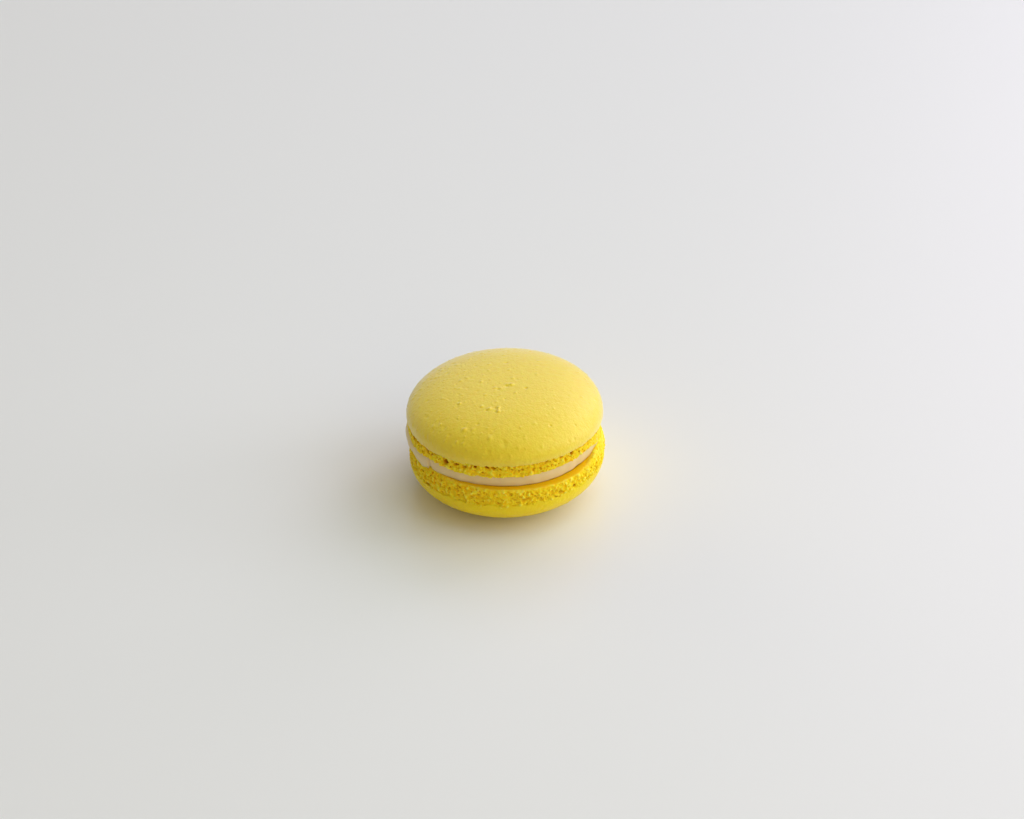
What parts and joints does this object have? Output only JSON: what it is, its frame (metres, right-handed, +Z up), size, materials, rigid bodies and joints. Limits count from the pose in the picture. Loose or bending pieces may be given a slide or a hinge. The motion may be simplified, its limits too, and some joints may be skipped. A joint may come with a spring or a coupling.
{
  "type": "french macaron",
  "caption": "Round sandwich biscuit of two domed meringue shells with ragged feet round a thin disc of pale filling, lying dome down on a small flat spot.",
  "frame": {"origin": "centre of the flat spot that the macaron rests on, under the lower shell's axis", "axes": "+Z up through both domes, +X to the right and +Y to the back as the macaron is seen from the front"},
  "size_m": [0.0491, 0.0487, 0.0291],
  "materials": {
    "shell": "baked almond meringue, matt and fine grained, lemon yellow, with a craggy, porous foot",
    "filling": "smooth pale buttercream with a soft satin sheen"
  },
  "bodies": {
    "root": {"upper_shell": "shell", "filling": "filling", "lower_shell": "shell"}
  },
  "joints": []
}
